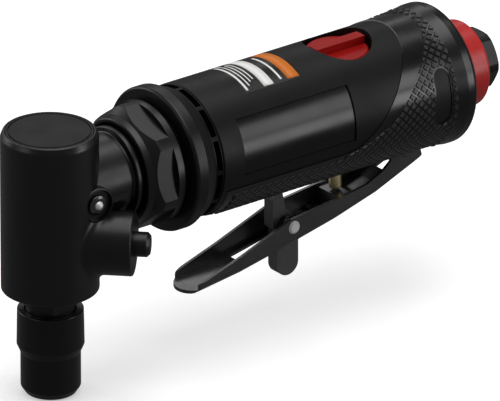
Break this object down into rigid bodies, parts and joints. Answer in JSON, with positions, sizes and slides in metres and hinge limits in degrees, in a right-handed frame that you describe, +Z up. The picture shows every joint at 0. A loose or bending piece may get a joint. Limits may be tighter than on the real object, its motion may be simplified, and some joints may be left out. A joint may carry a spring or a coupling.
{
  "type": "right-angle air die grinder",
  "caption": "Right-angle air die grinder: upright head with collet nut, cylindrical grip body, folding lever throttle with tilting safety latch, speed dial and threaded air inlet.",
  "frame": {"origin": "centre of the collet's mouth, at the lower end of the tool", "axes": "+Z up along the output spindle from the collet to the head's cap, +X along the body from the head to the air inlet, +Y to the side away from the grease fitting"},
  "size_m": [0.164, 0.0433, 0.0803],
  "materials": {
    "body_black": "satin moulded composite",
    "brass": "turned",
    "chrome": "polished",
    "grip_black": "textured soft rubber",
    "gunmetal": "satin gunmetal plating",
    "head_black": "satin black paint",
    "label_white": "printed film",
    "panel_black": "gloss black",
    "phenolic": "laminate vane",
    "plastic_red": "satin red",
    "rubber_black": "plain",
    "spring_steel": "drawn wire",
    "steel_bright": "ground steel",
    "steel_dark": "dark oxide steel"
  },
  "bodies": {
    "housing": {"head_housing": "head_black", "head_cap": "head_black", "grease_fitting": "chrome", "grease_fitting_ball": "chrome", "bearing_retainer": "steel_dark", "pinion_circlip": "spring_steel", "clamp_nut": "head_black", "snap_ring": "spring_steel", "nose_adapter": "steel_dark", "exhaust_collar": "body_black", "exhaust_ring": "body_black", "front_end_plate": "steel_bright", "rear_end_plate": "steel_bright", "motor_cylinder": "steel_bright", "motor_housing": "body_black", "grip_overmold": "grip_black", "grip_plates": "panel_black", "side_panel_near": "panel_black", "side_panel_far": "panel_black", "top_label": "label_white", "valve_bush": "brass", "valve_seat_ring": "rubber_black", "valve_spring": "spring_steel", "lock_spring": "spring_steel", "inlet_bushing": "steel_dark", "inlet_screen": "steel_bright", "rear_ring": "plastic_red", "lever_pin": "steel_bright", "upper_bearing_outer_race": "steel_bright", "upper_bearing_balls": "steel_bright", "lower_bearing_outer_race": "steel_bright", "lower_bearing_balls": "steel_bright", "pinion_bearing_outer_race": "steel_bright", "pinion_bearing_balls": "steel_bright", "front_bearing_outer_race": "steel_bright", "front_bearing_balls": "steel_bright", "rear_bearing_outer_race": "steel_bright", "rear_bearing_balls": "steel_bright"},
    "rotor": {"rotor": "steel_bright", "rotor_vanes": "phenolic", "pinion_shaft": "steel_bright", "pinion_bearing_inner_race": "steel_bright", "front_bearing_inner_race": "steel_bright", "rear_bearing_inner_race": "steel_bright"},
    "spindle": {"spindle": "steel_dark", "driven_bevel_gear": "steel_bright", "gear_key": "steel_bright", "collet": "steel_bright", "upper_bearing_inner_race": "steel_bright", "lower_bearing_inner_race": "steel_bright"},
    "collet_nut": {"collet_nut": "steel_dark"},
    "lock_button": {"lock_button": "steel_dark"},
    "lever": {"throttle_lever": "gunmetal", "lever_leaf": "spring_steel", "latch_pin": "steel_bright", "latch_spring": "spring_steel"},
    "latch": {"safety_latch": "steel_dark"},
    "valve": {"valve_stem": "brass"},
    "regulator": {"regulator_dial": "plastic_red", "dial_o_ring": "rubber_black"}
  },
  "joints": [
    {"name": "spindle_spin", "type": "hinge", "parent": "housing", "child": "spindle", "pos_m": [0, 0, 0], "axis": [0, 0, 1], "continuous": true},
    {"name": "rotor_spin", "type": "hinge", "parent": "housing", "child": "rotor", "pos_m": [0.06, 0, 0.0597], "axis": [1, 0, 0], "continuous": true},
    {"name": "collet_nut_turn", "type": "hinge", "parent": "spindle", "child": "collet_nut", "pos_m": [0, 0, 0.012], "axis": [0, 0, 1], "range_deg": [-360, 0]},
    {"name": "lever_press", "type": "hinge", "parent": "housing", "child": "lever", "pos_m": [0.1193, 0, 0.0415], "axis": [0, 1, 0], "range_deg": [0, 6.5], "stiffness_Nm_per_rad": 1.5, "springref_deg": -6.88},
    {"name": "latch_tilt", "type": "hinge", "parent": "lever", "child": "latch", "pos_m": [0.0798, 0, 0.0291], "axis": [0, 1, 0], "range_deg": [0, 78]},
    {"name": "valve_slide", "type": "slide", "parent": "housing", "child": "valve", "axis": [0, 0, 1], "range_m": [0, 0.0024], "deforming": ["valve_spring"]},
    {"name": "lock_press", "type": "slide", "parent": "housing", "child": "lock_button", "axis": [-0.7071, 0.7071, 0], "range_m": [0, 0.003], "stiffness_N_per_m": 400, "springref_m": -0.003, "deforming": ["lock_spring"]},
    {"name": "regulator_turn", "type": "hinge", "parent": "housing", "child": "regulator", "pos_m": [0.0995, 0, 0.0757], "axis": [0, 0, 1], "range_deg": [-90, 90]}
  ],
  "couplings": [
    {"joint": "spindle_spin", "follows": "rotor_spin", "ratio": 1},
    {"joint": "latch_tilt", "follows": "lever_press", "ratio": 12},
    {"joint": "valve_slide", "follows": "lever_press", "m_per_rad": 0.0205}
  ]
}
